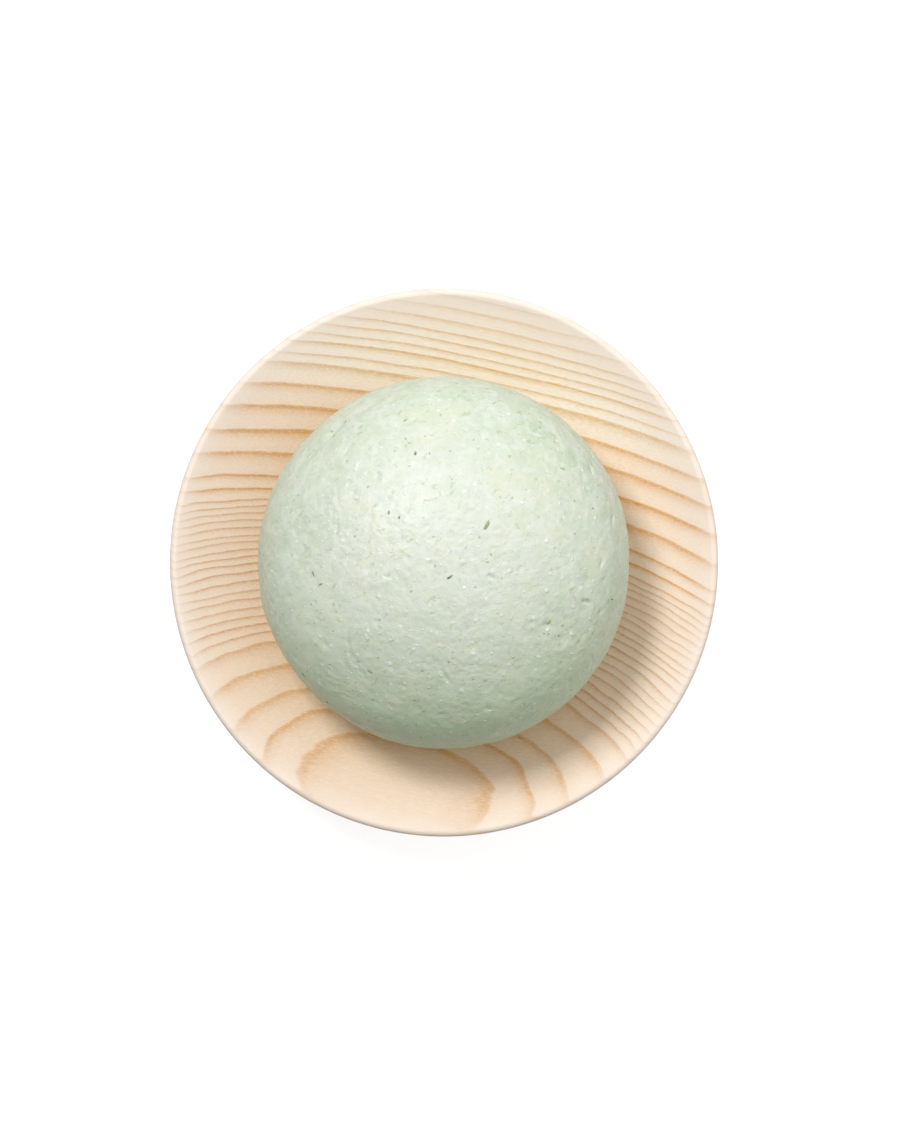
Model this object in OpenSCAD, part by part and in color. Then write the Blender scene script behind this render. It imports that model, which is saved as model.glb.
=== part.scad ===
// Shaving soap puck resting in a turned wooden dish.
// Millimetres, +Z up. The origin is the centre of the dish's foot, on the surface that it stands on.
// The dish and the puck are turned shapes about Z. The puck lifts straight out of the dish along +Z.

/* [Dish] */
// Outside diameter, over the lip
dish_d = 100; // [96:1:106]
// Height of the lip above the surface that the dish stands on
dish_h = 20; // [19:0.5:24]
// Radius of the ball that the hollow is a part of
hollow_r = 95; // [92:1:110]
// Radius of the rounded lip
lip_r = 0.9; // [0.8:0.1:1.6]
// Radius of the bulging outside wall, seen in section
wall_r = 40; // [36:1:60]
// Diameter of the foot
foot_d = 58; // [54:1:64]
// Width and height of the eased edge round the foot
foot_ease = 0.6; // [0.3:0.1:1]
// Diameter of the shallow recess turned under the foot
recess_d = 46; // [36:1:48]
// Depth of that recess
recess_h = 1; // [0.5:0.1:1.5]

/* [Puck] */
// Diameter of the puck where it is widest
puck_d = 67; // [65:0.2:70]
// Height of the puck
puck_h = 41; // [40:0.5:44]
// Height of the widest ring above the puck's own underside
belly_h = 16.5; // [15:0.5:17.5]
// Radius of the shoulder, between the widest ring and the crown
shoulder_r = 19; // [16:0.5:20]
// Gap between the puck and the hollow at the ring where the puck sits
seat_gap = 0.15; // [0.1:0.05:0.3]

/* [Herb flecks] */
// How many small flecks are spread through the surface, beside the large ones
small_flecks = 44; // [40:1:60]
// Length of the longest small flecks
small_fleck = 1; // [0.6:0.1:1.2]
// How far the flecks stand out of the soap
fleck_proud = 0.1; // [0.05:0.05:0.15]
// How deep the flecks reach into the soap
fleck_depth = 0.4; // [0.3:0.1:0.6]

/* [Soap grains] */
// How many pale grains show in the surface
grains = 88; // [40:1:100]
// Radius of the largest grains
grain_r = 0.6; // [0.4:0.05:0.7]
// How deep a grain's centre lies under the surface, as a part of its radius
grain_sunk = 0.7; // [0.5:0.1:0.8]

/* [Hidden] */
$fn = 96;

// Straight steps along each arc of a section
arc_steps = 24;
// Facets round a grain
grain_fn = 24;
// Turn from one surface spot to the next, which spreads them evenly
golden_turn = 137.508;
// The lowest surface spots face this far from straight up, still clear of the dish
lowest_tilt = 122;
// Turn of the grains' spots from the small flecks' spots
grain_shift = 20;
// A fleck's width as a part of its length
fleck_slim = 0.6;
// Large flecks: place in plan as x and y, length, and turn of the long side from +X
LARGE_FLECKS = [
    [7.5, 6.5, 2.4, 55], [18.5, -10.5, 1.9, 50], [1, -2.5, 1.6, 30], [-5, 19, 1, 80],
    [-2.5, 19, 0.8, 10], [28.5, -13, 0.9, 60], [-23, -2, 1.3, 110], [17, 25, 0.9, 150],
    [21, 16.5, 1.3, 170], [-20, 23, 1.1, 45], [-13, -19, 1.7, 140], [-25, -20, 1.4, 120],
];

// ---- Sections: every point is [distance from Z, height] ----

function unit(a) = [cos(a), sin(a)];
function bearing(v) = atan2(v[1], v[0]);
function arc(c, r, a0, a1) = [for (i = [0:arc_steps]) c + r * unit(a0 + (a1 - a0) * i / arc_steps)];

// Of the two points rp away from p and rq away from q, the one to the left on the way from p to q
function meet(p, rp, q, rq) =
    let (v = q - p, d = norm(v), along = (d * d + rp * rp - rq * rq) / (2 * d))
    p + along * v / d + sqrt(rp * rp - along * along) * [-v[1], v[0]] / d;

// The lip's circle touches the hollow from outside and the wall from inside
lip_c = [dish_d / 2 - lip_r, dish_h - lip_r];
hollow_c = [0, lip_c[1] + sqrt(pow(hollow_r + lip_r, 2) - pow(lip_c[0], 2))];
foot_edge = [foot_d / 2, foot_ease];
wall_c = meet(foot_edge, wall_r, lip_c, wall_r - lip_r);
hollow_end = bearing(lip_c - hollow_c);
wall_start = bearing(lip_c - wall_c);
wall_end = bearing(foot_edge - wall_c);

// The puck is flat underneath, out to where the belly's arc starts
belly_r = puck_d / 2;
seat_r = belly_r - belly_h;
// Height of the puck's underside when the belly's arc rests on the hollow
puck_z = hollow_c[1] - belly_h - sqrt(pow(hollow_r - belly_h - seat_gap, 2) - pow(seat_r, 2));
belly_c = [seat_r, puck_z + belly_h];
shoulder_c = [belly_r - shoulder_r, puck_z + belly_h];
// The crown's arc touches the shoulder's and is level at the top
rise = puck_h - belly_h;
crown_r = (pow(shoulder_c[0], 2) + pow(rise, 2) - pow(shoulder_r, 2)) / (2 * (rise - shoulder_r));
crown_c = [0, puck_z + puck_h - crown_r];
crown_tilt = 90 - bearing(shoulder_c - crown_c);

// The point of the puck's section whose surface faces this far from straight up
function skin(tilt) =
    tilt < crown_tilt ? crown_c + crown_r * unit(90 - tilt) :
    tilt < 90 ? shoulder_c + shoulder_r * unit(90 - tilt) :
    belly_c + belly_h * unit(90 - tilt);

// How far the puck's upper surface faces from straight up, at a distance from Z
function tilt_at(r) =
    r < skin(crown_tilt)[0] ? asin(r / crown_r) : asin((r - shoulder_c[0]) / shoulder_r);

// The turn and tilt of the spot number i of n, spread evenly from the crown to below the belly
function spot(i, n) = [golden_turn * i, acos(1 - (1 - cos(lowest_tilt)) * (i + 0.5) / n)];

// ---- Pieces ----

module dish() {
    color("burlywood")
        rotate_extrude()
            polygon(concat(
                arc(hollow_c, hollow_r, -90, hollow_end),
                arc(lip_c, lip_r, hollow_end + 180, wall_start),
                arc(wall_c, wall_r, wall_start, wall_end),
                [[foot_edge[0] - foot_ease, 0], [recess_d / 2, 0]],
                [[recess_d / 2 - recess_h, recess_h], [0, recess_h]]
            ));
}

module soap_puck() {
    color("honeydew")
        rotate_extrude()
            polygon(concat(
                [[0, puck_z]],
                arc(belly_c, belly_h, -90, 0),
                arc(shoulder_c, shoulder_r, 0, 90 - crown_tilt),
                arc(crown_c, crown_r, 90 - crown_tilt, 90)
            ));
}

// Moves what is drawn about the origin, facing +Z, to a spot on the puck's surface
module on_skin(turn, tilt) {
    p = skin(tilt);
    rotate([0, 0, turn]) translate([p[0], 0, p[1]]) rotate([0, tilt, 0]) children();
}

// A crumb of leaf: an uneven five-sided flake, longest along its own X
module fleck(length, turn, seed) {
    reach = length / 2 * rands(0.75, 1, 5, seed);
    rotate([0, 0, turn]) translate([0, 0, -fleck_depth])
        linear_extrude(fleck_depth + fleck_proud)
            polygon([for (k = [0:4]) reach[k] * [cos(72 * k), fleck_slim * sin(72 * k)]]);
}

module herb_flecks() {
    color("darkolivegreen") {
        for (f = LARGE_FLECKS) {
            turn = bearing([f[0], f[1]]);
            on_skin(turn, tilt_at(norm([f[0], f[1]]))) fleck(f[2], f[3] - turn, f[3]);
        }
        for (i = [0:small_flecks - 1]) {
            s = spot(i, small_flecks);
            on_skin(s[0], s[1]) fleck(small_fleck * rands(0.5, 1, 1, i)[0], golden_turn * i, i);
        }
    }
}

module soap_grains() {
    color("ivory")
        for (i = [0:grains - 1]) {
            s = spot(i, grains);
            r = grain_r * rands(0.6, 1, 1, i)[0];
            on_skin(s[0] + grain_shift, s[1]) translate([0, 0, -grain_sunk * r]) sphere(r, $fn = grain_fn);
        }
}

dish();
soap_puck();
herb_flecks();
soap_grains();
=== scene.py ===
import math
import random

import bmesh
import bpy
import numpy as np
from mathutils import Matrix, Vector, noise
from mathutils.bvhtree import BVHTree


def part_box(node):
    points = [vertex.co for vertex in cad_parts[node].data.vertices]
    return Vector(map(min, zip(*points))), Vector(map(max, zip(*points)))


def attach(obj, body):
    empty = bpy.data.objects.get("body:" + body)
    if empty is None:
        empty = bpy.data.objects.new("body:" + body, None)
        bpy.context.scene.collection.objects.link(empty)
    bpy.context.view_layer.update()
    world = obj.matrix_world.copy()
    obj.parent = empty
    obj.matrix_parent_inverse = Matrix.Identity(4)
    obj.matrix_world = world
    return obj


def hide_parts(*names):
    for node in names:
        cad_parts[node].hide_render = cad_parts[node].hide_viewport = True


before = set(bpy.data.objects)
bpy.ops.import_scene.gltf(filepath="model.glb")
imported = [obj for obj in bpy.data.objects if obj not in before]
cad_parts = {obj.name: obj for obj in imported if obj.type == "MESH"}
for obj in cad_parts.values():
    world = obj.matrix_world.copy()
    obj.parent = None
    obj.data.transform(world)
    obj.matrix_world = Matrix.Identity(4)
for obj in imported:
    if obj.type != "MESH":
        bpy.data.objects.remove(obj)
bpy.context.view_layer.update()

# The looks of the shaving soap puck and its turned wooden dish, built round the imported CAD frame

MM = 0.001

# ---- Sizes, in millimetres: the dish's and the puck's repeat the design's own ----

DISH_LOW, DISH_HIGH = (np.array(corner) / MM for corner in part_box("dish"))
PUCK_LOW, PUCK_HIGH = (np.array(corner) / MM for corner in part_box("soap_puck"))
DISH_R = (DISH_HIGH[0] - DISH_LOW[0]) / 2
DISH_H = DISH_HIGH[2]
HOLLOW_R = 95.0
LIP_R = 0.9
WALL_R = 40.0
FOOT_R = 29.0
FOOT_EASE = 0.6
RECESS_R = 23.0
RECESS_H = 1.0
PUCK_R = (PUCK_HIGH[0] - PUCK_LOW[0]) / 2
PUCK_Z = PUCK_LOW[2]
PUCK_H = PUCK_HIGH[2] - PUCK_LOW[2]
BELLY_H = 16.5
SHOULDER_R = 19.0

# ---- Shared geometry: sections are lists of (distance from Z, height), in millimetres ----


def unit(angle):
    """The unit vector at an angle in radians."""
    return np.array([math.cos(angle), math.sin(angle)])


def bearing(v):
    """The angle of a vector, in radians."""
    return math.atan2(v[1], v[0])


def arc(centre, radius, start, end, steps):
    """Points along an arc, without its last one."""
    return [centre + radius * unit(start + (end - start) * i / steps) for i in range(steps)]


def line(start, end, steps):
    """Points along a straight line, without its last one."""
    return [start + (end - start) * i / steps for i in range(steps)]


def meet(p, rp, q, rq):
    """The point rp away from p and rq away from q that lies to the left on the way from p to q."""
    v = q - p
    d = np.linalg.norm(v)
    along = (d * d + rp * rp - rq * rq) / (2 * d)
    return p + along * v / d + math.sqrt(rp * rp - along * along) * np.array([-v[1], v[0]]) / d


LIP_C = np.array([DISH_R - LIP_R, DISH_H - LIP_R])
HOLLOW_C = np.array([0, LIP_C[1] + math.sqrt((HOLLOW_R + LIP_R) ** 2 - LIP_C[0] ** 2)])
FLOOR_Z = HOLLOW_C[1] - HOLLOW_R


def add_mesh(name, points, faces, body, node, material):
    """A smooth-shaded piece from points in millimetres, riding on a body in place of a CAD node."""
    mesh = bpy.data.meshes.new(name)
    mesh.from_pydata((np.asarray(points) * MM).tolist(), [], faces)
    mesh.validate()
    mesh.polygons.foreach_set("use_smooth", [True] * len(mesh.polygons))
    mesh.materials.append(material)
    piece = bpy.data.objects.new(name, mesh)
    bpy.context.scene.collection.objects.link(piece)
    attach(piece, body)
    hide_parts(node)
    return piece


# ---- Shader nodes, written as sums ----


class Sum:
    """A shader value that can be added, multiplied and so on, like a number."""

    def __init__(self, tree, socket):
        self.tree = tree
        self.socket = socket

    def math(self, kind, *others, clamp=False):
        """The result of a Math node of this kind on the value and the others."""
        node = self.tree.nodes.new("ShaderNodeMath")
        node.operation = kind
        node.use_clamp = clamp
        for place, value in enumerate((self, *others)):
            feed(self.tree, node.inputs[place], value)
        return Sum(self.tree, node.outputs[0])

    def __add__(self, other):
        return self.math("ADD", other)

    def __sub__(self, other):
        return self.math("SUBTRACT", other)

    def __mul__(self, other):
        return self.math("MULTIPLY", other)

    def __rsub__(self, other):
        return (self * -1.0) + other

    __radd__ = __add__
    __rmul__ = __mul__

    def root(self):
        """The square root."""
        return self.math("SQRT")

    def fract(self):
        """What is left after the whole number."""
        return self.math("FRACT")

    def held(self):
        """The value, kept from 0 to 1."""
        return self.math("ADD", 0.0, clamp=True)

    def step(self, low, high):
        """0 below low, 1 above high and smooth between them."""
        node = self.tree.nodes.new("ShaderNodeMapRange")
        node.interpolation_type = "SMOOTHSTEP"
        feed(self.tree, node.inputs["Value"], self)
        node.inputs["From Min"].default_value = low
        node.inputs["From Max"].default_value = high
        return Sum(self.tree, node.outputs["Result"])

    def curve(self, points, low, high):
        """A smooth-cornered graph through points (value, result), over low to high and 0 to 1."""
        node = self.tree.nodes.new("ShaderNodeFloatCurve")
        graph = node.mapping.curves[0]
        while len(graph.points) < len(points):
            graph.points.new(0.5, 0.5)
        for dot, (x, y) in zip(graph.points, sorted(points)):
            dot.location = ((x - low) / (high - low), y)
            dot.handle_type = "VECTOR"
        node.mapping.update()
        feed(self.tree, node.inputs["Value"], (self - low) * (1 / (high - low)))
        return Sum(self.tree, node.outputs[0])


def feed(tree, socket, value):
    """Links a value into a socket, or sets it there if it is a constant."""
    if isinstance(value, Sum):
        tree.links.new(value.socket, socket)
    else:
        socket.default_value = value


def mixed(tree, amount, first, second):
    """A colour from first to second; each is a colour or a mixed colour."""
    node = tree.nodes.new("ShaderNodeMix")
    node.data_type = "RGBA"
    named = {socket.identifier: socket for socket in (*node.inputs, *node.outputs)}
    feed(tree, named["Factor_Float"], amount)
    for socket, value in ((named["A_Color"], first), (named["B_Color"], second)):
        feed(tree, socket, value if isinstance(value, Sum) else (*value, 1))
    return Sum(tree, named["Result_Color"])


class Paint:
    """A new material, with short forms of the nodes that its recipe uses."""

    def __init__(self, name):
        self.material = bpy.data.materials.new(name)
        self.material.use_nodes = True
        self.tree = self.material.node_tree
        self.shader = self.tree.nodes["Principled BSDF"]
        self.place = self.tree.nodes.new("ShaderNodeTexCoord").outputs["Object"]

    def set(self, **values):
        """Sets the shader's sockets, named with _ for a space."""
        for name, value in values.items():
            feed(self.tree, self.shader.inputs[name.replace("_", " ")], value)

    def axes(self):
        """x, y and z of the shaded point, in millimetres."""
        node = self.tree.nodes.new("ShaderNodeSeparateXYZ")
        self.tree.links.new(self.place, node.inputs[0])
        return [Sum(self.tree, node.outputs[k]) * (1 / MM) for k in range(3)]

    def stretched(self, sizes, turn=0.0):
        """Coordinates in which one unit is sizes millimetres, turned about Z."""
        node = self.tree.nodes.new("ShaderNodeMapping")
        node.vector_type = "POINT"
        turned = self.tree.nodes.new("ShaderNodeMapping")
        turned.inputs["Rotation"].default_value = (0, 0, -turn)
        self.tree.links.new(self.place, turned.inputs["Vector"])
        self.tree.links.new(turned.outputs[0], node.inputs["Vector"])
        node.inputs["Scale"].default_value = [1 / (MM * size) for size in sizes]
        return node.outputs[0]

    def noise(self, place, detail=2.0, roughness=0.5, warp=0.0):
        """Smooth noise about 0.5."""
        node = self.tree.nodes.new("ShaderNodeTexNoise")
        self.tree.links.new(place, node.inputs["Vector"])
        node.inputs["Scale"].default_value = 1.0
        node.inputs["Detail"].default_value = detail
        node.inputs["Roughness"].default_value = roughness
        node.inputs["Distortion"].default_value = warp
        return Sum(self.tree, node.outputs["Fac"])

    def spots(self, place):
        """The distance to the nearest of scattered spots, and a random number for each spot."""
        node = self.tree.nodes.new("ShaderNodeTexVoronoi")
        self.tree.links.new(place, node.inputs["Vector"])
        node.inputs["Scale"].default_value = 1.0
        node.inputs["Randomness"].default_value = 1.0
        parts = self.tree.nodes.new("ShaderNodeSeparateColor")
        self.tree.links.new(node.outputs["Color"], parts.inputs[0])
        return Sum(self.tree, node.outputs["Distance"]), Sum(self.tree, parts.outputs[0])

    def mix(self, amount, first, second):
        """A colour from first to second."""
        return mixed(self.tree, amount, first, second)

    def bump(self, height, depth):
        """Raises the surface by height times depth, in millimetres."""
        node = self.tree.nodes.new("ShaderNodeBump")
        node.inputs["Strength"].default_value = 1.0
        node.inputs["Distance"].default_value = depth * MM
        self.tree.links.new(height.socket, node.inputs["Height"])
        self.tree.links.new(node.outputs[0], self.shader.inputs["Normal"])


def srgb(*screen):
    """The shader's colour for red, green and blue as on a screen, over 10 and up to 255."""
    return tuple(((v / 255 + 0.055) / 1.055) ** 2.4 for v in screen)


# ---- Camera, floor and light ----

# Height of the camera above the surface that the dish stands on, in metres
CAMERA_UP = 0.62
# The lip's width as a part of the picture's
DISH_SPREAD = 0.61
# The camera's place over the surface, from the dish's axis
OFF_CENTRE = (0.0011, -0.0001)
SENSOR = 36.0
NEAREST_SEEN = 0.01


def make_camera():
    """Looks straight down."""
    data = bpy.data.cameras.new("camera")
    data.sensor_fit = "HORIZONTAL"
    data.sensor_width = SENSOR
    view_width = 2 * DISH_R * MM / DISH_SPREAD
    data.lens = SENSOR * (CAMERA_UP - DISH_H * MM) / view_width
    data.clip_start = NEAREST_SEEN
    camera = bpy.data.objects.new("camera", data)
    camera.location = (OFF_CENTRE[0], OFF_CENTRE[1], CAMERA_UP)
    bpy.context.scene.collection.objects.link(camera)
    bpy.context.scene.camera = camera


# The studio: a dome that is bright towards one side of the sky and dim on the other, and a key lamp
BRIGHT_SIDE = (0.58, 0.38, 0.82)
DOME_BRIGHT = 0.97
DOME_DIM = 0.02
BRIGHT_COLOUR = (1.0, 0.992, 0.98)
DIM_COLOUR = (1.0, 0.93, 0.80)
BACKDROP = 1.0
KEY_PLACE = (-0.27, 0.36, 0.70)
KEY_TARGET = (0, 0, 0.02)
KEY_SIZE = 0.24
KEY_POWER = 3.9
KEY_COLOUR = (0.99, 0.99, 0.985)
FLOOR_REACH = 4.0
FLOOR_CELLS = 8
FLOOR_GREY = 0.5
FLOOR_GLOW = 0.8


def make_dome():
    """The light of the sky, and a plain white backdrop where the camera sees past the floor."""
    world = bpy.data.worlds.new("studio")
    world.use_nodes = True
    tree = world.node_tree
    dome = tree.nodes["Background"]
    place = tree.nodes.new("ShaderNodeTexCoord")
    facing = tree.nodes.new("ShaderNodeVectorMath")
    facing.operation = "DOT_PRODUCT"
    facing.inputs[1].default_value = Vector(BRIGHT_SIDE).normalized()
    tree.links.new(place.outputs["Generated"], facing.inputs[0])
    share = Sum(tree, facing.outputs["Value"]).step(0.0, 1.0)
    glow = share * (DOME_BRIGHT - DOME_DIM) + DOME_DIM
    seen = Sum(tree, tree.nodes.new("ShaderNodeLightPath").outputs["Is Camera Ray"])
    feed(tree, dome.inputs["Strength"], glow * (1.0 - seen) + seen * BACKDROP)
    feed(tree, dome.inputs["Color"], mixed(tree, (share + seen).held(), DIM_COLOUR, BRIGHT_COLOUR))
    bpy.context.scene.world = world


def make_key():
    """A soft square lamp that faces the puck."""
    data = bpy.data.lights.new("key", "AREA")
    data.size = KEY_SIZE
    data.energy = KEY_POWER
    data.color = KEY_COLOUR
    lamp = bpy.data.objects.new("key", data)
    lamp.location = KEY_PLACE
    lamp.rotation_euler = (Vector(KEY_TARGET) - lamp.location).to_track_quat("-Z", "Y").to_euler()
    bpy.context.scene.collection.objects.link(lamp)


def make_floor():
    """A plain white floor. It shows paler than it is, so that it doesn't light the object from below."""
    bm = bmesh.new()
    bmesh.ops.create_grid(bm, x_segments=FLOOR_CELLS, y_segments=FLOOR_CELLS, size=FLOOR_REACH)
    mesh = bpy.data.meshes.new("floor")
    bm.to_mesh(mesh)
    bm.free()
    paint = Paint("floor_paint")
    seen = Sum(paint.tree, paint.tree.nodes.new("ShaderNodeLightPath").outputs["Is Camera Ray"])
    paint.set(Base_Color=(FLOOR_GREY, FLOOR_GREY, FLOOR_GREY, 1), Roughness=0.9, Specular_IOR_Level=0.0)
    paint.set(Emission_Color=(1, 1, 1, 1), Emission_Strength=seen * FLOOR_GLOW)
    mesh.materials.append(paint.material)
    floor = bpy.data.objects.new("floor", mesh)
    bpy.context.scene.collection.objects.link(floor)


# ---- The dish ----

# The grain runs along the log's axis, turned this far from +X. The heart lies below the dish and
# towards -Y. Distances are from the middle of the hollow's floor.
GRAIN_TURN = math.radians(-12)
HEART_ACROSS = -62.0
HEART_DOWN = -30.0
# Growth rings by zone: where it ends, from the heart; usual ring width; darkness of the late wood
RINGS_START = 40.0
RING_ZONES = [
    (54, 2.2, 0.75),
    (75, 1.1, 0.75),
    (80, 1.9, 0.95),
    (99, 3.7, 0.95),
    (112, 2.0, 0.8),
    (135, 2.3, 0.65),
]
# A ring's width and darkness, as parts of what is usual in its zone
WIDTH_SPREAD = (0.75, 1.25)
DARK_SPREAD = (0.8, 1.15)
RING_SEED = 3
# Darkness across a ring, from its inner edge at 0 to its outer edge at 1
RING_SHADE = [(0, 0.05), (0.25, 0.0), (0.5, 0.1), (0.74, 0.5), (0.87, 1.0), (0.94, 0.85), (1, 0.05)]
# Where the wood changes, from the heart: it is warmest inside HEARTWOOD, its rings are fine from
# FINE_START to FINE_END, and it is creamy outside SAPWOOD. Each change is spread over a distance.
HEARTWOOD, HEART_CHANGE = 56.0, 6.0
FINE_START, FINE_START_CHANGE = 55.0, 2.0
FINE_END, FINE_END_CHANGE = 75.5, 1.5
SAPWOOD, SAP_CHANGE = 97.0, 5.0


def grow_rings():
    """(width, darkness) of each ring from the heart outwards, varied a little within its zone."""
    dice = random.Random(RING_SEED)
    rings = []
    reach = RINGS_START
    for end, width, dark in RING_ZONES:
        while reach < end:
            grown_width = width * dice.uniform(*WIDTH_SPREAD)
            rings.append((grown_width, min(1.0, dark * dice.uniform(*DARK_SPREAD))))
            reach += grown_width
    return rings


RINGS = grow_rings()
RINGS_END = RINGS_START + sum(width for width, dark in RINGS)


def ring_distance(x, y, z):
    """How far out from the heart a point in the dish grew."""
    cos, sin = math.cos(GRAIN_TURN), math.sin(GRAIN_TURN)
    across = y * cos - x * sin
    up = z - (FLOOR_Z + HEART_DOWN)
    side = across - HEART_ACROSS
    return (side * side + up * up).root()


def ring_edges():
    """(distance from the heart, how many rings lie inside it) for the start and each ring's outer edge."""
    edges = [(RINGS_START, 0)]
    for count, (width, dark) in enumerate(RINGS, 1):
        edges.append((edges[-1][0] + width, count))
    return edges


# Points along each stretch of the dish's outline
HOLLOW_STEPS, LIP_STEPS, WALL_STEPS, FOOT_STEPS, EASE_STEPS, RECESS_STEPS = 92, 20, 52, 8, 4, 36
# Columns of points round the dish
DISH_COLUMNS = 440


def dish_section():
    """The dish's outline, from the middle of the hollow over the lip to the middle of the recess."""
    foot_edge = np.array([FOOT_R, FOOT_EASE])
    wall_c = meet(foot_edge, WALL_R, LIP_C, WALL_R - LIP_R)
    hollow_end = bearing(LIP_C - HOLLOW_C)
    wall_start = bearing(LIP_C - wall_c)
    foot_out = np.array([FOOT_R - FOOT_EASE, 0])
    foot_in = np.array([RECESS_R, 0])
    recess_edge = np.array([RECESS_R - RECESS_H, RECESS_H])
    return (
        arc(HOLLOW_C, HOLLOW_R, -math.pi / 2, hollow_end, HOLLOW_STEPS)
        + arc(LIP_C, LIP_R, hollow_end + math.pi, wall_start, LIP_STEPS)
        + arc(wall_c, WALL_R, wall_start, bearing(foot_edge - wall_c), WALL_STEPS)
        + line(foot_edge, foot_out, EASE_STEPS)
        + line(foot_out, foot_in, FOOT_STEPS)
        + line(foot_in, recess_edge, EASE_STEPS)
        + line(recess_edge, np.array([0, RECESS_H]), RECESS_STEPS)
        + [np.array([0, RECESS_H])]
    )


def revolve(section, columns):
    """Points and faces of a section turned about Z, with one point at each end on the axis."""
    inner = np.array(section[1:-1])
    turns = np.arange(columns) * 2 * math.pi / columns
    ring = np.stack([np.cos(turns), np.sin(turns)], 1)
    body = np.concatenate([np.column_stack([ring * r, np.full(columns, z)]) for r, z in inner])
    points = np.vstack([body, [0, 0, section[0][1]], [0, 0, section[-1][1]]])
    faces = []
    for row in range(len(inner) - 1):
        for k in range(columns):
            a, b = row * columns + k, row * columns + (k + 1) % columns
            faces.append((a, a + columns, b + columns, b))
    first, last = len(body), len(body) + 1
    end = (len(inner) - 1) * columns
    faces += [(first, k, (k + 1) % columns) for k in range(columns)]
    faces += [(last, end + (k + 1) % columns, end + k) for k in range(columns)]
    return points, faces


# Colours of the early wood, which grows first in a ring, and of the late wood
EARLY_INNER = srgb(245, 223, 200)
EARLY_SAP = srgb(251, 242, 227)
EARLY_CLOUD = srgb(241, 211, 180)
EARLY_HEART = srgb(241, 210, 174)
LATE_WIDE = srgb(218, 160, 86)
LATE_FINE = srgb(208, 152, 96)
LATE_SAP = srgb(218, 178, 118)
FIBRE_COLOUR = srgb(226, 184, 138)
SPECK_PALE = srgb(255, 249, 240)
SPECK_DARK = srgb(226, 182, 136)
CANAL_COLOUR = srgb(186, 130, 60)
# The lip's pale colour: partly wear, partly a painted highlight
WORN_AND_HIGHLIT_COLOUR = srgb(252, 240, 230)
# Lengths along and across the grain, in millimetres, over which the wood varies
WANDER_SIZE = (26, 9, 9)
RIPPLE_SIZE = (5, 2, 2)
FIBRE_SIZE = (9, 0.22, 0.22)
SPECK_SIZE = (1.3, 0.24, 0.24)
CLOUD_SIZE = (30, 12, 12)
CANAL_SPACING = (7.0, 1.0, 1.0)
# How far the rings stray from round
WANDER = 1.5
RIPPLE = 0.16
# Width of the pale outer part of the dish, and of the lip's band that is paler still; both are partly wear
# from handling and partly a painted highlight where the rounded lip catches the light
PALE_AND_HIGHLIT_BAND = 18.0
WORN_AND_HIGHLIT_BAND = 5.0
WOOD_RELIEF = 0.025


def late_wood(grown):
    """How much late wood there is at a distance from the heart."""
    count = len(RINGS)
    edges = ring_edges()
    counted = grown.curve([(d, n / count) for d, n in edges], RINGS_START, RINGS_END)
    middles = [((a[0] + b[0]) / 2, ring[1]) for a, b, ring in zip(edges, edges[1:], RINGS)]
    return (counted * count).fract().curve(RING_SHADE, 0, 1) * grown.curve(middles, RINGS_START, RINGS_END)


def wood_colour(paint, grown, late, cloud):
    """Early and late wood, before the fibres: peach and orange inside, creamy and tan in the sapwood."""
    sap = (grown + (cloud - 0.5) * 6.0).step(SAPWOOD - SAP_CHANGE, SAPWOOD + SAP_CHANGE)
    early = paint.mix(sap, EARLY_INNER, EARLY_SAP)
    early = paint.mix((cloud * 1.4 - 0.45).held() * 0.5, early, EARLY_CLOUD)
    heart = 1.0 - grown.step(HEARTWOOD - HEART_CHANGE, HEARTWOOD + HEART_CHANGE)
    early = paint.mix(heart * 0.5, early, EARLY_HEART)
    begun = grown.step(FINE_START - FINE_START_CHANGE, FINE_START + FINE_START_CHANGE)
    ended = grown.step(FINE_END - FINE_END_CHANGE, FINE_END + FINE_END_CHANGE)
    inner_late = paint.mix(begun * (1.0 - ended), LATE_WIDE, LATE_FINE)
    return paint.mix(late, early, paint.mix(sap, inner_late, LATE_SAP))


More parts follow.
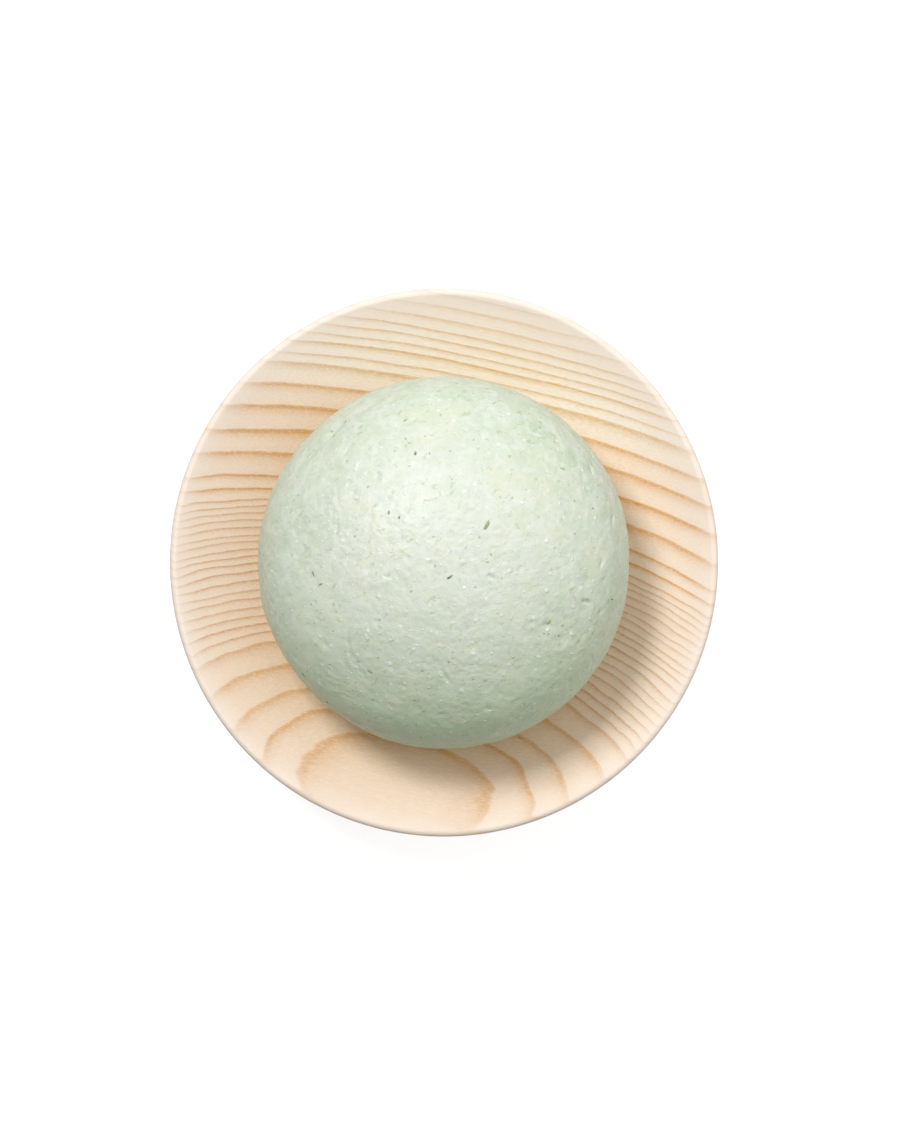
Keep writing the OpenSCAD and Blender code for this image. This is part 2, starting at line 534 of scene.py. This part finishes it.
def make_wood():
    """Softwood with growth rings, fibres and resin canals, paler towards the lip from wear and a painted
    highlight.
    """
    paint = Paint("wood")
    x, y, z = paint.axes()
    wander = (paint.noise(paint.stretched(WANDER_SIZE, GRAIN_TURN), 2.5, 0.55) - 0.5) * WANDER
    ripple = (paint.noise(paint.stretched(RIPPLE_SIZE, GRAIN_TURN), 2.0, 0.6) - 0.5) * RIPPLE
    fibre = paint.noise(paint.stretched(FIBRE_SIZE, GRAIN_TURN), 3.0, 0.6)
    speck = paint.noise(paint.stretched(SPECK_SIZE, GRAIN_TURN), 2.0, 0.65)
    cloud = paint.noise(paint.stretched(CLOUD_SIZE, GRAIN_TURN), 2.0, 0.5)
    grown = ring_distance(x, y, z) + wander + ripple
    late = (late_wood(grown) * (fibre * 0.9 + speck * 0.5 + 0.35)).held()
    colour = wood_colour(paint, grown, late, cloud)
    colour = paint.mix((fibre - 0.48).held(), colour, FIBRE_COLOUR)
    colour = paint.mix((0.5 - speck).held() * 1.3, colour, SPECK_PALE)
    colour = paint.mix((speck - 0.5).held(), colour, SPECK_DARK)

    # Resin canals: short dark dashes that only show in late wood
    canal, lot = paint.spots(paint.stretched(CANAL_SPACING, GRAIN_TURN))
    canal = (1.0 - canal.step(0.10, 0.22)) * lot.step(0.62, 0.7) * late.step(0.35, 0.8)
    colour = paint.mix(canal * 0.55, colour, CANAL_COLOUR)

    # Paler towards the lip: partly wear from handling, partly a painted highlight on the rounded lip
    out = (x * x + y * y).root()
    pale = out.step(DISH_R - PALE_AND_HIGHLIT_BAND, DISH_R) * (0.45 - late * 0.33)
    colour = paint.mix(pale, colour, WORN_AND_HIGHLIT_COLOUR)
    worn_and_highlit = out.step(DISH_R - WORN_AND_HIGHLIT_BAND, DISH_R) * (cloud * 0.8 + 0.3)
    colour = paint.mix(worn_and_highlit, colour, WORN_AND_HIGHLIT_COLOUR)
    paint.set(Base_Color=colour, Roughness=0.62 - late * 0.12 + (fibre - 0.5) * 0.2)
    paint.set(Specular_IOR_Level=0.25)
    paint.bump(late * 0.06 + fibre * 0.5 + speck * 0.4, WOOD_RELIEF)
    return paint.material


def make_dish():
    points, faces = revolve(dish_section(), DISH_COLUMNS)
    add_mesh("turned_dish", points, faces, "dish", "dish", make_wood())


# ---- The soap puck ----

CROWN_RISE = PUCK_H - BELLY_H
SHOULDER_X = PUCK_R - SHOULDER_R
CROWN_R = (SHOULDER_X ** 2 + CROWN_RISE ** 2 - SHOULDER_R ** 2) / (2 * (CROWN_RISE - SHOULDER_R))
# How finely the ball that becomes the puck is divided, and points along each arc of its outline
FACE_CUTS = 127
OUTLINE_STEPS = 60
# How much closer together the puck's points are on top than underneath
TOP_DENSITY = 0.22
# Each kind of unevenness: how high it stands, and the distance over which it changes
LUMP_RISE, LUMP_SIZE = 0.34, 24
DIMPLE_RISE, DIMPLE_SIZE = 0.10, 6.5
KNOB_RISE, KNOB_SIZE = 0.085, 2.4
GRIT_RISE, GRIT_SIZE = 0.04, 0.9
# Grit stands this much higher in roughened patches
PATCH_RISE, PATCH_SIZE = 0.09, 9
CREASE_DEPTH, CREASE_SIZE = 0.16, 17
# A long groove that hands left along the shoulder: its bearing, its distance from Z by radius, and
# the length, width and depth of its sharp middle and of the soft hollow round it
GROOVE_TURN = 130.0
GROOVE_OUT = 0.92
GROOVE_MIDDLE = (26, 1.3, 0.42)
GROOVE_HOLLOW = (30, 6, 0.4)
# Slits, each with a slight lip that lies away from it along one side
SLIT_COUNT = 26
SLIT_LENGTHS = (0.9, 3.2)
SLIT_DEPTHS = (0.12, 0.4)
SLIT_WIDTH = 0.34
SLIT_LIP_WIDTH = 0.4
SLIT_LIP_AWAY = 0.55
PIT_COUNT = 230
PIT_LENGTHS = (0.5, 1.3)
PIT_SEED = 11
# Height above the underside below which nothing stands out, and how gradually that begins
SEAT_H = 5.5
SEAT_FADE = 2.5
SEAT_SUNK = 0.05


def puck_section(steps):
    """Even points down the puck's outline, from the top to the middle of the underside."""
    belly_c = np.array([PUCK_R - BELLY_H, PUCK_Z + BELLY_H])
    shoulder_c = np.array([SHOULDER_X, PUCK_Z + BELLY_H])
    crown_c = np.array([0, PUCK_Z + PUCK_H - CROWN_R])
    crown_end = bearing(shoulder_c - crown_c)
    path = (
        arc(crown_c, CROWN_R, math.pi / 2, crown_end, steps)
        + arc(shoulder_c, SHOULDER_R, crown_end, 0, steps)
        + arc(belly_c, BELLY_H, 0, -math.pi / 2, steps)
        + [np.array([belly_c[0], PUCK_Z]), np.array([0, PUCK_Z])]
    )
    path = np.array(path)
    length = np.concatenate([[0], np.cumsum(np.linalg.norm(np.diff(path, axis=0), axis=1))])
    return path, length / length[-1]


def round_cube():
    """Directions and faces of a finely divided ball without poles."""
    bm = bmesh.new()
    bmesh.ops.create_cube(bm, size=2.0)
    bmesh.ops.subdivide_edges(bm, edges=bm.edges[:], cuts=FACE_CUTS, use_grid_fill=True)
    bm.verts.ensure_lookup_table()
    points = np.array([v.co for v in bm.verts])
    faces = [tuple(v.index for v in f.verts) for f in bm.faces]
    bm.free()
    points = np.tan(points * math.pi / 4)
    return points / np.linalg.norm(points, axis=1)[:, None], faces


def rough(points, size, octaves):
    """Noise from about -1 to 1 that changes over size millimetres."""
    return np.array([noise.fractal(Vector(p) / size, 1.0, 2.0, octaves) for p in points])


def dent(points, centre, along, length, width, depth):
    """The depth of an oval dent at each point."""
    away = points - centre
    run = away @ along
    off = np.sqrt(np.maximum((away * away).sum(1) - run * run, 0))
    return depth * np.exp(-((run / (length / 2)) ** 4) - (off / width) ** 2)


def normals_of(points, faces):
    """The way the surface faces at each point of a mesh of four-sided faces."""
    quads = np.array(faces)
    across = np.cross(points[quads[:, 2]] - points[quads[:, 0]], points[quads[:, 3]] - points[quads[:, 1]])
    total = np.zeros_like(points)
    for corner in range(4):
        np.add.at(total, quads[:, corner], across)
    return total / np.linalg.norm(total, axis=1)[:, None]


def smooth_puck():
    """Points and faces of the plain puck, the way each point faces, and the ball's directions."""
    ways, faces = round_cube()
    path, part = puck_section(OUTLINE_STEPS)
    tilt = np.arccos(np.clip(ways[:, 2], -1, 1)) / math.pi
    down = (1 - TOP_DENSITY) * tilt + TOP_DENSITY * tilt ** 3
    r = np.interp(down, part, path[:, 0])
    z = np.interp(down, part, path[:, 1])
    flat = np.linalg.norm(ways[:, :2], axis=1) + 1e-9
    points = np.column_stack([ways[:, 0] / flat * r, ways[:, 1] / flat * r, z])
    outward = normals_of(points, faces)
    if outward[np.argmax(points[:, 2]), 2] < 0:
        outward = -outward
    return points, faces, outward, ways


def unevenness(points, dimples):
    """How far a hand-rolled surface stands out at each point, from noises that are shifted apart."""
    lumps = LUMP_RISE * rough(points + 40, LUMP_SIZE, 2)
    patch = np.clip(rough(points + 17, PATCH_SIZE, 2) * 2.2 - 0.35, 0, 1)
    grit = (GRIT_RISE + PATCH_RISE * patch) * rough(points, GRIT_SIZE, 3)
    knobs = KNOB_RISE * rough(points + 60, KNOB_SIZE, 2)
    # Faint creases from rolling, where one noise crosses zero and another one lets them show
    shown = np.clip(rough(points + 33, 20, 1) * 3, 0, 1)
    creases = -CREASE_DEPTH * shown * np.exp(-((rough(points + 5, CREASE_SIZE, 1) / 0.05) ** 2))
    return lumps + dimples + knobs + grit + creases


def groove_depth(points, outward, dimples):
    """The depth of the shoulder's groove, whose sharp middle is broken up and wavers with the dimples."""
    place = PUCK_R * GROOVE_OUT * unit(math.radians(GROOVE_TURN))
    off = np.linalg.norm(points[:, :2] - place, axis=1) + np.where(outward[:, 2] > 0, 0, PUCK_R)
    centre = int(np.argmin(off))
    along = tangent(outward[centre], GROOVE_TURN - 90)
    broken = np.clip(0.7 + 1.6 * rough(points + 71, 5, 2), 0, 1)
    middle = broken * dent(points + 0.9 * dimples[:, None], points[centre], along, *GROOVE_MIDDLE)
    return middle + dent(points, points[centre], along, *GROOVE_HOLLOW)


def nick_depth(points, outward, ways):
    """The depth of the slits, each with a slight lip along one side, and of the pits."""
    depth = np.zeros(len(points))
    dice = random.Random(PIT_SEED)
    for k in range(SLIT_COUNT):
        centre = random_point(ways, dice)
        along = tangent(outward[centre], dice.uniform(0, 180))
        length = dice.uniform(*SLIT_LENGTHS)
        deep = dice.uniform(*SLIT_DEPTHS)
        depth += dent(points, points[centre], along, length, SLIT_WIDTH, deep)
        lip = points[centre] - SLIT_LIP_AWAY * np.cross(outward[centre], along)
        depth -= dent(points, lip, along, length, SLIT_LIP_WIDTH, deep / 5)
    for k in range(PIT_COUNT):
        centre = random_point(ways, dice)
        size = dice.uniform(*PIT_LENGTHS)
        along = tangent(outward[centre], dice.uniform(0, 180))
        width = size * dice.uniform(0.25, 0.5)
        depth += dent(points, points[centre], along, size, width, size * dice.uniform(0.05, 0.18))
    return depth


def puck_shape():
    """Points and faces of the puck: hand-rolled, with pits, nicks and roughened patches."""
    points, faces, outward, ways = smooth_puck()
    dimples = DIMPLE_RISE * rough(points + 90, DIMPLE_SIZE, 2)
    height = unevenness(points, dimples)
    height -= groove_depth(points, outward, dimples)
    height -= nick_depth(points, outward, ways)
    # Nothing stands out where the puck sits in the dish
    seat = np.clip((PUCK_Z + SEAT_H - points[:, 2]) / SEAT_FADE, 0, 1)
    height = height * (1 - seat) - SEAT_SUNK * seat
    return points + outward * height[:, None], faces


def random_point(ways, dice):
    """The number of a point in an even random direction."""
    way = np.array([dice.gauss(0, 1) for axis in range(3)])
    return int(np.argmax(ways @ way))


def tangent(normal, turn):
    """The way along a surface that points at turn degrees from +X, seen from above."""
    way = np.array([*unit(math.radians(turn)), 0.0])
    way = way - normal * (way @ normal)
    return way / np.linalg.norm(way)


SOAP_DEEP = srgb(204, 219, 196)
SOAP_PALE = srgb(217, 229, 211)
SOAP_CLOUD = srgb(238, 242, 234)
# Painted shade: the soap shows more green on its shaded side, towards -Y
SOAP_SHADE_GREEN = srgb(201, 226, 186)
# Painted highlight: the paler, less green colour of the lit crown
SOAP_CROWN_HIGHLIGHT = srgb(234, 237, 234)
SOAP_HAZE = srgb(226, 229, 202)
CURD_COLOUR = srgb(250, 251, 248)
SMUDGE_COLOUR = srgb(178, 192, 142)
DUST_COLOUR = srgb(146, 166, 116)
THREAD_COLOUR = srgb(160, 172, 150)
# Painted shade in the low places of the fine bump
DIP_SHADE_COLOUR = srgb(190, 204, 180)
# Two sizes of curd, each with the share of its places that stay empty
CURD_SIZES = ((2.1, 0.4), (1.1, 0.45))
# The painted highlight on the crown begins this far above the belly
CROWN_HIGHLIGHT_ABOVE = 10.0
# How far red, green and blue light travel in soap, in millimetres
SOAP_DEPTHS = (0.7, 0.9, 0.6)
SOAP_RELIEF = 0.18


def soap_body(paint, cloud):
    """The soap's own colour, clouded, with a painted tint of shade that makes it more green towards -Y and
    a painted highlight that makes the crown paler.
    """
    wide = paint.noise(paint.stretched((14, 14, 14)), 3.0, 0.55, 0.4)
    colour = paint.mix((wide * 2.2 - 0.6).held(), SOAP_DEEP, SOAP_PALE)
    colour = paint.mix((cloud * 3.6 - 1.5).held() * 0.7, colour, SOAP_CLOUD)
    y, z = paint.axes()[1:]
    # Painted shade: more green towards -Y, the side away from the light
    shade_green = ((wide - 0.5) * 20.0 - y).step(-8.0, PUCK_R)
    colour = paint.mix(shade_green * 0.55, colour, SOAP_SHADE_GREEN)
    # Painted highlight: paler and less green on the lit crown
    crown_highlight = (z + (wide - 0.5) * 14.0).step(PUCK_Z + BELLY_H + CROWN_HIGHLIGHT_ABOVE, PUCK_Z + PUCK_H)
    colour = paint.mix(crown_highlight * 0.45, colour, SOAP_CROWN_HIGHLIGHT)
    haze = paint.noise(paint.stretched((7, 7, 7)), 3.0, 0.6, 1.0)
    return paint.mix((haze * 4.0 - 1.9).held() * 0.45, colour, SOAP_HAZE)


def curds_in(paint, cloud):
    """How much white curd there is: soft round spots, thicker in some places than in others."""
    curds = 0.0
    for size, share in CURD_SIZES:
        away, lot = paint.spots(paint.stretched((size, size, size)))
        curds += (1.0 - (away + lot * 0.16).step(0.12, 0.36)) * lot.step(share, share + 0.05)
    return (curds * (cloud * 2.4 - 0.3)).held()


def leaf_under(paint, colour, small):
    """Adds the leaf that lies under the surface: olive smudges, fine dust, and greyer threads."""
    smudges = paint.noise(paint.stretched((1.7, 1.1, 1.3), 0.5), 4.0, 0.7, 0.5).step(0.585, 0.665)
    colour = paint.mix(smudges * 0.5, colour, SMUDGE_COLOUR)
    away, lot = paint.spots(paint.stretched((1.5, 0.9, 1.2), 0.7))
    dust = (1.0 - (away + (small - 0.5) * 0.5).step(0.10, 0.24)) * lot.step(0.88, 0.90)
    colour = paint.mix(dust * 0.5, colour, DUST_COLOUR)
    away, lot = paint.spots(paint.stretched((2.6, 0.7, 1.6), -0.6))
    threads = (1.0 - (away + small * 0.14).step(0.10, 0.20)) * lot.step(0.84, 0.87)
    return paint.mix(threads * 0.45, colour, THREAD_COLOUR), dust


def make_soap():
    """Soap with white curds in it and leaf under its surface."""
    paint = Paint("soap")
    cloud = paint.noise(paint.stretched((2.4, 2.4, 2.4)), 4.0, 0.62, 0.8)
    small = paint.noise(paint.stretched((0.7, 0.7, 0.7)), 3.0, 0.65)
    curds = curds_in(paint, cloud)
    colour = paint.mix(curds * 0.9, soap_body(paint, cloud), CURD_COLOUR)
    colour, dust = leaf_under(paint, colour, small)
    # Painted shade: darker green where the fine noise is low, which are the low places of its bump
    colour = paint.mix((0.46 - small).held() * 1.3, colour, DIP_SHADE_COLOUR)
    paint.set(Base_Color=colour, Roughness=0.4 + (small - 0.5) * 0.35 + curds * 0.1)
    paint.set(Subsurface_Weight=0.2, Subsurface_Scale=MM, Specular_IOR_Level=0.3)
    paint.set(Subsurface_Radius=SOAP_DEPTHS)
    paint.bump(small * 0.45 + cloud * 0.35 + curds * 0.5 - dust * 0.3, SOAP_RELIEF)
    return paint.material


def make_puck():
    points, faces = puck_shape()
    return add_mesh("soap_body", points, faces, "puck", "soap_puck", make_soap())


# ---- What is moulded into the soap ----

# Extra crumbs and grains, smaller than the ones that the design places
DUST_LEAVES = 26
DUST_LEAF_LENGTHS = (0.2, 0.6)
DUST_GRAINS = 130
DUST_GRAIN_RADII = (0.14, 0.3)
GRAIN_RADII = (0.28, 0.5)
GOLDEN_TURN = math.radians(137.508)
LOWEST_TILT = math.radians(122)
LEAF_SEED = 5
# Points round a crumb's outline, and how far it reaches under the surface
LEAF_RIM = 12
LEAF_DEEP = 0.16
GRAIN_SEED = 8
# Lumps of a CAD node are one lump where they are nearer than this, in millimetres
SAME_PLACE = 0.02


def lumps_of(node):
    """The middle, long way and length of each separate lump in a CAD node, in millimetres."""
    bm = bmesh.new()
    bm.from_mesh(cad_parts[node].data)
    bmesh.ops.remove_doubles(bm, verts=bm.verts, dist=SAME_PLACE * MM)
    left = set(bm.verts)
    lumps = []
    for first in bm.verts:
        if first not in left:
            continue
        group, waiting = [], [first]
        left.discard(first)
        while waiting:
            corner = waiting.pop()
            group.append(np.array(corner.co) / MM)
            near = [edge.other_vert(corner) for edge in corner.link_edges]
            near = [other for other in near if other in left]
            left.difference_update(near)
            waiting += near
        corners = np.array(group)
        middle = (corners.max(0) + corners.min(0)) / 2
        long_way = np.linalg.svd(corners - middle, full_matrices=False)[2][0]
        lumps.append((middle, long_way, float(np.ptp(corners @ long_way))))
    bm.free()
    return sorted(lumps, key=lambda lump: tuple(np.round(lump[0], 3)))


class Skin:
    """The puck's surface, for placing things on it."""

    def __init__(self, puck):
        mesh = puck.data
        points = np.array([v.co for v in mesh.vertices]) / MM
        faces = [f.vertices[:] for f in mesh.polygons]
        self.tree = BVHTree.FromPolygons([Vector(p) for p in points], faces)
        self.centre = Vector((0, 0, PUCK_Z + BELLY_H))

    def touch(self, point):
        """The nearest place on the surface, and the way out of it."""
        place, normal, number, distance = self.tree.find_nearest(point)
        return place, normal if normal.dot(place - self.centre) > 0 else -normal

    def spot(self, number, count, dice):
        """Spots spread evenly from the crown to below the belly, each moved a little."""
        turn = GOLDEN_TURN * number + dice.uniform(-0.2, 0.2)
        tilt = math.acos(1 - (1 - math.cos(LOWEST_TILT)) * (number + dice.random()) / count)
        way = Vector((math.sin(tilt) * math.cos(turn), math.sin(tilt) * math.sin(turn), math.cos(tilt)))
        place, normal, face, distance = self.tree.ray_cast(self.centre, way)
        return self.touch(place)


def add_leaf(skin, place, normal, along, length, width, dice, points, faces):
    """A closed, ragged flake that follows the surface, standing a little out of it."""
    side = normal.cross(along)
    proud = dice.uniform(0.02, 0.07)
    outline = []
    for k in range(LEAF_RIM):
        angle = 2 * math.pi * k / LEAF_RIM
        reach = dice.uniform(0.72, 1.12)
        outline.append((length / 2 * reach * math.cos(angle), width / 2 * reach * math.sin(angle)))
    start = len(points)
    # (height above the surface, part of the outline's size), from the middle on top to the one below
    top = [(proud, 0.0), (proud, 0.55), (proud * 0.6, 0.94), (0.0, 1.0)]
    shell = top + [(-LEAF_DEEP, 0.8), (-LEAF_DEEP, 0.0)]
    for level, shrink in shell:
        ring = outline if shrink > 0 else [(0.0, 0.0)]
        for u, v in ring:
            spot, out = skin.touch(place + along * (u * shrink) + side * (v * shrink))
            points.append(spot + out * level)
    rows = [start + 1 + row * LEAF_RIM for row in range(4)]
    last = start + 1 + 4 * LEAF_RIM
    for k in range(LEAF_RIM):
        after = (k + 1) % LEAF_RIM
        faces.append((start, rows[0] + k, rows[0] + after))
        for a, b in zip(rows, rows[1:]):
            faces.append((a + k, b + k, b + after, a + after))
        faces.append((last, rows[3] + after, rows[3] + k))


LEAF_GREEN = srgb(54, 100, 44)
LEAF_DRY = srgb(182, 193, 150)
VEIN_COLOUR = srgb(190, 198, 160)
LEAF_RELIEF = 0.05


def make_leaf_paint():
    """Dried leaf, from green to straw."""
    paint = Paint("leaf")
    tone = paint.noise(paint.stretched((5, 5, 5)), 1.0, 0.5)
    vein = paint.noise(paint.stretched((0.5, 0.16, 0.5)), 2.0, 0.6)
    colour = paint.mix((tone * 5.0 - 1.6).held(), LEAF_GREEN, LEAF_DRY)
    colour = paint.mix((vein - 0.4).held() * 1.2, colour, VEIN_COLOUR)
    paint.set(Base_Color=colour, Roughness=0.7 + (vein - 0.5) * 0.3)
    paint.bump(vein, LEAF_RELIEF)
    return paint.material


def flat_way(way, normal):
    """The part of a direction that lies along the surface."""
    way = Vector(way)
    return (way - normal * way.dot(normal)).normalized()


def make_leaves(skin):
    """A leaf crumb for each of the design's flecks, and a dusting of smaller ones."""
    dice = random.Random(LEAF_SEED)
    points, faces = [], []
    for middle, long_way, length in lumps_of("herb_flecks"):
        place, normal = skin.touch(Vector(middle))
        width = length * dice.uniform(0.3, 0.65)
        add_leaf(skin, place, normal, flat_way(long_way, normal), length, width, dice, points, faces)
    for k in range(DUST_LEAVES):
        place, normal = skin.spot(k, DUST_LEAVES, dice)
        along = Vector(tangent(np.array(normal), dice.uniform(0, 180)))
        length = dice.uniform(*DUST_LEAF_LENGTHS)
        add_leaf(skin, place, normal, along, length, length * dice.uniform(0.3, 0.8), dice, points, faces)
    add_mesh("leaf_crumbs", points, faces, "puck", "herb_flecks", make_leaf_paint())


GRAIN_DULL = srgb(232, 238, 226)
GRAIN_WHITE = srgb(250, 250, 246)
GRAIN_RELIEF = 0.04
# Half a grain's height, and how deep its middle lies, as parts of half its length
GRAIN_FLAT = 0.5
GRAIN_SUNK = 0.38


def make_grain_paint():
    """Pale grains, slightly see-through."""
    paint = Paint("grain")
    cloud = paint.noise(paint.stretched((0.5, 0.5, 0.5)), 2.0, 0.5)
    colour = paint.mix(cloud, GRAIN_DULL, GRAIN_WHITE)
    paint.set(Base_Color=colour, Roughness=0.4 + (cloud - 0.5) * 0.3)
    paint.set(Subsurface_Weight=0.5, Subsurface_Scale=MM)
    paint.bump(cloud, GRAIN_RELIEF)
    return paint.material


def add_grain(bm, place, normal, size, dice):
    """A flattened lump set almost flush."""
    turn = normal.to_track_quat("Z", "Y").to_matrix().to_4x4()
    spin = Matrix.Rotation(dice.uniform(0, math.pi), 4, "Z")
    shape = Matrix.Diagonal((size, size * dice.uniform(0.6, 1.0), size * GRAIN_FLAT, 1))
    sunk = Matrix.Translation(place - normal * size * GRAIN_SUNK)
    made = bmesh.ops.create_icosphere(bm, subdivisions=2, radius=1.0, matrix=sunk @ turn @ spin @ shape)
    for v in made["verts"]:
        v.co += (v.co - place).normalized() * noise.noise(v.co * 4) * size * 0.12


def make_grains(skin):
    """A pale grain for each of the design's, and a dusting of smaller ones."""
    dice = random.Random(GRAIN_SEED)
    bm = bmesh.new()
    for middle, long_way, length in lumps_of("soap_grains"):
        place, normal = skin.touch(Vector(middle))
        add_grain(bm, place, normal, dice.uniform(*GRAIN_RADII), dice)
    for k in range(DUST_GRAINS):
        place, normal = skin.spot(k, DUST_GRAINS, dice)
        add_grain(bm, place, normal, dice.uniform(*DUST_GRAIN_RADII), dice)
    bm.verts.index_update()
    points = [v.co[:] for v in bm.verts]
    faces = [tuple(v.index for v in f.verts) for f in bm.faces]
    bm.free()
    add_mesh("pale_grains", points, faces, "puck", "soap_grains", make_grain_paint())


# ---- Making it all ----

make_camera()
make_dome()
make_key()
make_floor()
bpy.context.scene.view_settings.view_transform = "Standard"
make_dish()
skin = Skin(make_puck())
make_leaves(skin)
make_grains(skin)
